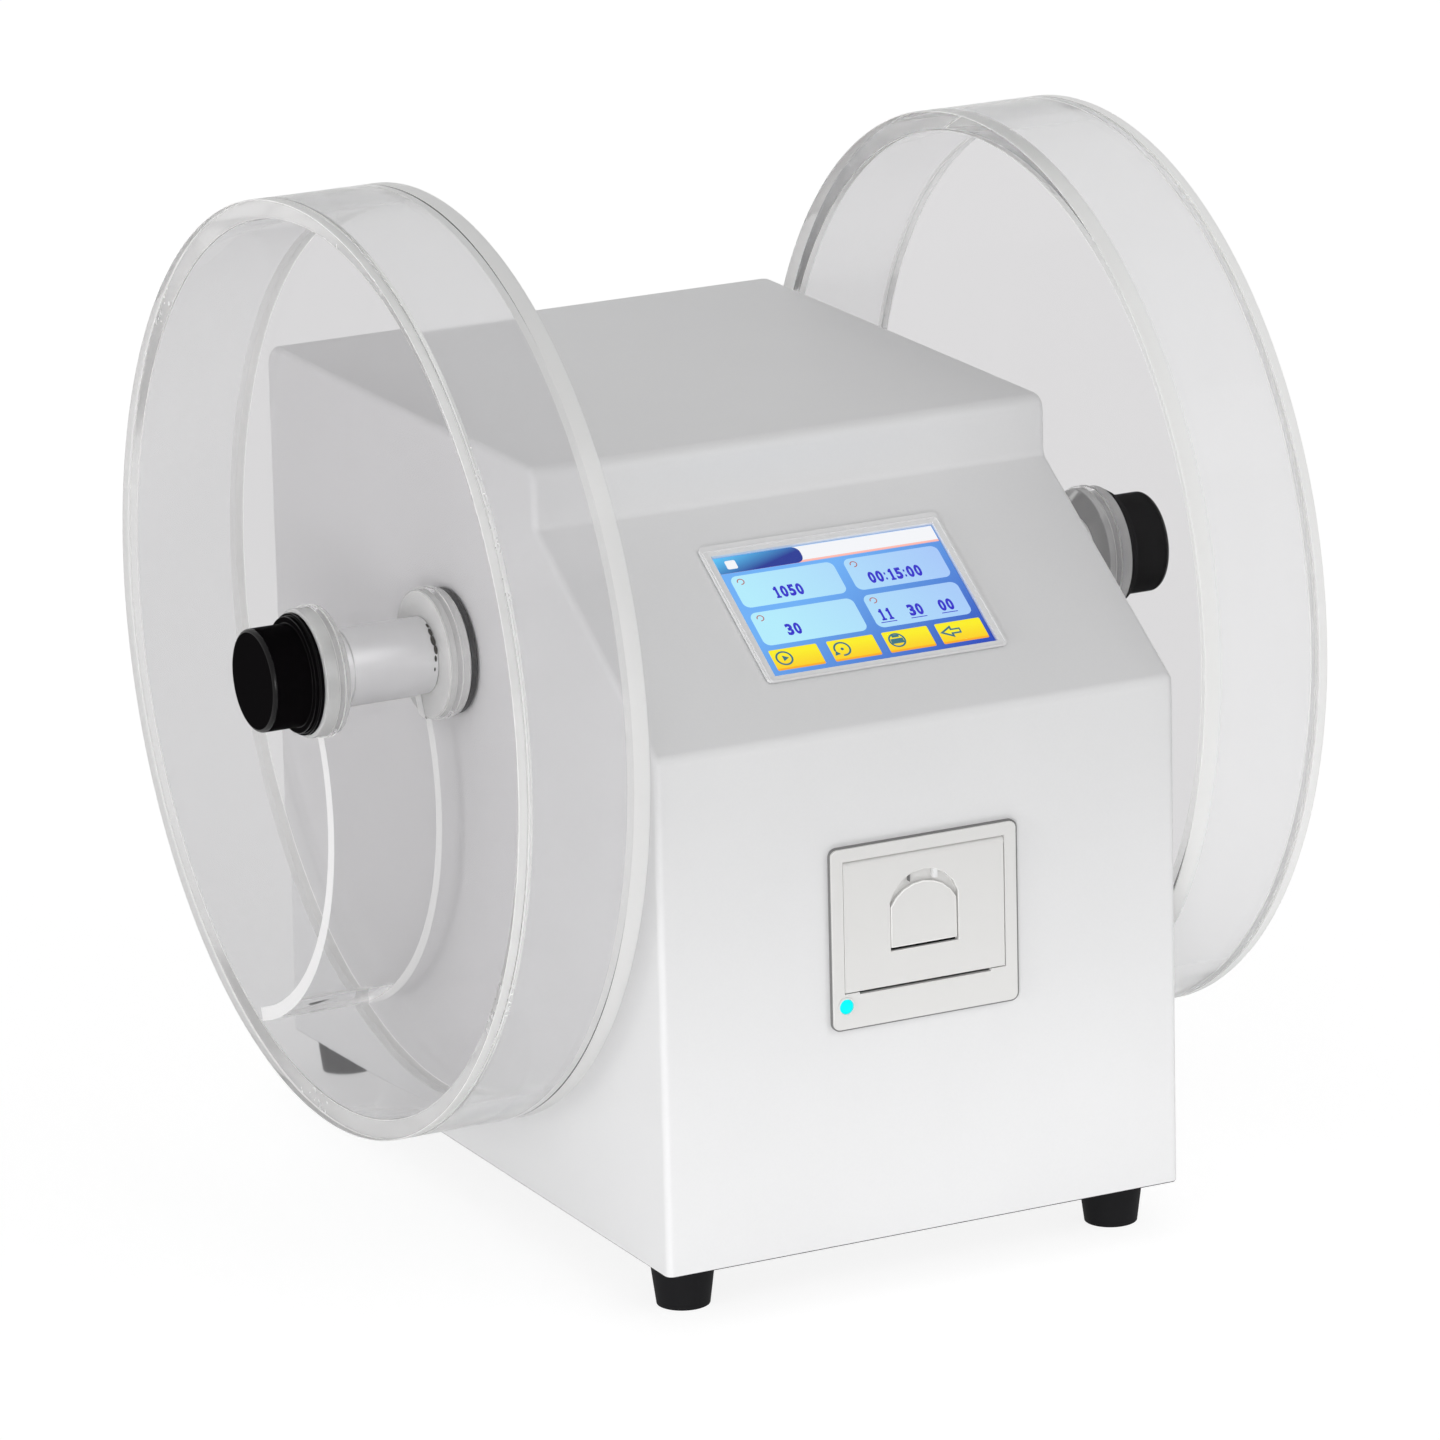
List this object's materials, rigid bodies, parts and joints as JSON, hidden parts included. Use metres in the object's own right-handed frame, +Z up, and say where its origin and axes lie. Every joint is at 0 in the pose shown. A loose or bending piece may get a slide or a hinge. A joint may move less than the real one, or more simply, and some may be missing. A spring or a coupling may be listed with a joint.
{
  "type": "tablet friability tester",
  "caption": "Bench tester that tumbles tablets in two clear drums on one motor-driven shaft through a sloped sheet-metal case with a touch screen and a panel printer",
  "frame": {"origin": "on the floor, under the middle of the drum axis, which runs through the centre of the drums", "axes": "X runs along the drum axis to the right drum, -Y is the front with the screen and the printer, +Z is up"},
  "size_m": [0.3206, 0.297, 0.3315],
  "materials": {
    "white_powder_coat": "textured powder coat",
    "grey_plate": "satin",
    "black_rubber": "matt",
    "black_plastic": "semi-gloss",
    "light_plastic": "fine texture",
    "screen_glass": "lit touch screen",
    "circuit_board": "solder mask",
    "cyan_lens": "lit lens",
    "zinc_plate": "zinc plated",
    "steel": "ground",
    "brass": "machined",
    "milky_acrylic": "bonded acrylic, polished edges",
    "clear_acrylic": "clear polished acrylic",
    "turned_aluminium": "turned, clear anodised",
    "platen_rubber": "ground",
    "paper": "thermal paper roll"
  },
  "bodies": {
    "case": {"case_shell": "white_powder_coat", "rear_panel": "white_powder_coat", "base_tray": "grey_plate", "display_module": "grey_plate", "foot_front_left": "black_rubber", "foot_front_right": "black_rubber", "foot_rear_left": "black_rubber", "foot_rear_right": "black_rubber", "power_inlet": "black_plastic", "switch_body": "black_plastic", "print_head": "black_plastic", "screen_bezel": "light_plastic", "printer_frame": "light_plastic", "screen_glass": "screen_glass", "display_board": "circuit_board", "control_board": "circuit_board", "printer_lamp": "cyan_lens", "power_supply": "zinc_plate", "gear_motor": "zinc_plate", "motor_bracket": "zinc_plate", "bearing_block_left": "zinc_plate", "bearing_block_right": "zinc_plate", "shaft_bearing_left": "steel", "shaft_bearing_right": "steel"},
    "rotor": {"main_shaft": "steel", "shaft_gear": "brass", "shaft_collar_left": "zinc_plate", "drum_ring_left": "milky_acrylic", "hub_boss_left": "milky_acrylic", "drum_back_left": "clear_acrylic", "drum_baffle_left": "clear_acrylic", "hub_washer_left": "black_rubber", "hub_tube_left": "turned_aluminium", "shaft_collar_right": "zinc_plate", "drum_ring_right": "milky_acrylic", "hub_boss_right": "milky_acrylic", "drum_back_right": "clear_acrylic", "drum_baffle_right": "clear_acrylic", "hub_washer_right": "black_rubber", "hub_tube_right": "turned_aluminium"},
    "left_cover": {"drum_cover_left": "clear_acrylic", "cover_boss_left": "milky_acrylic"},
    "left_knob": {"knob_left": "black_plastic"},
    "right_cover": {"drum_cover_right": "clear_acrylic", "cover_boss_right": "milky_acrylic"},
    "right_knob": {"knob_right": "black_plastic"},
    "pinion": {"motor_shaft": "steel", "drive_pinion": "steel"},
    "paper_door": {"printer_door": "light_plastic"},
    "door_lever": {"door_lever": "light_plastic"},
    "platen": {"platen_roller": "platen_rubber"},
    "paper": {"paper_roll": "paper"},
    "rocker": {"switch_rocker": "black_plastic"}
  },
  "joints": [
    {"name": "rotor_spin", "type": "hinge", "parent": "case", "child": "rotor", "pos_m": [0, 0, 0.183], "axis": [1, 0, 0], "continuous": true},
    {"name": "pinion_spin", "type": "hinge", "parent": "case", "child": "pinion", "pos_m": [0.034, 0.02581, 0.15224], "axis": [1, 0, 0], "continuous": true},
    {"name": "left_cover_slide", "type": "slide", "parent": "rotor", "child": "left_cover", "axis": [-1, 0, 0], "range_m": [0, 0.04]},
    {"name": "left_knob_turn", "type": "hinge", "parent": "left_cover", "child": "left_knob", "pos_m": [-0.1523, 0, 0.183], "axis": [-1, 0, 0], "continuous": true},
    {"name": "right_cover_slide", "type": "slide", "parent": "rotor", "child": "right_cover", "axis": [1, 0, 0], "range_m": [0, 0.04]},
    {"name": "right_knob_turn", "type": "hinge", "parent": "right_cover", "child": "right_knob", "pos_m": [0.1523, 0, 0.183], "axis": [1, 0, 0], "continuous": true},
    {"name": "paper_door_swing", "type": "hinge", "parent": "case", "child": "paper_door", "pos_m": [0, -0.1398, 0.13805], "axis": [-1, 0, 0], "range_deg": [0, 90]},
    {"name": "door_lever_pull", "type": "hinge", "parent": "paper_door", "child": "door_lever", "pos_m": [0, -0.1404, 0.11035], "axis": [1, 0, 0], "range_deg": [0, 20], "stiffness_Nm_per_rad": 0.02},
    {"name": "paper_roll_turn", "type": "hinge", "parent": "case", "child": "paper", "pos_m": [0, -0.1045, 0.11065], "axis": [1, 0, 0], "continuous": true},
    {"name": "platen_turn", "type": "hinge", "parent": "paper_door", "child": "platen", "pos_m": [0, -0.133, 0.10505], "axis": [1, 0, 0], "continuous": true},
    {"name": "power_rocker", "type": "hinge", "parent": "case", "child": "rocker", "pos_m": [0.006, 0.1372, 0.058], "axis": [1, 0, 0], "range_deg": [-10, 10]}
  ],
  "couplings": [
    {"joint": "pinion_spin", "follows": "rotor_spin", "ratio": -3}
  ]
}
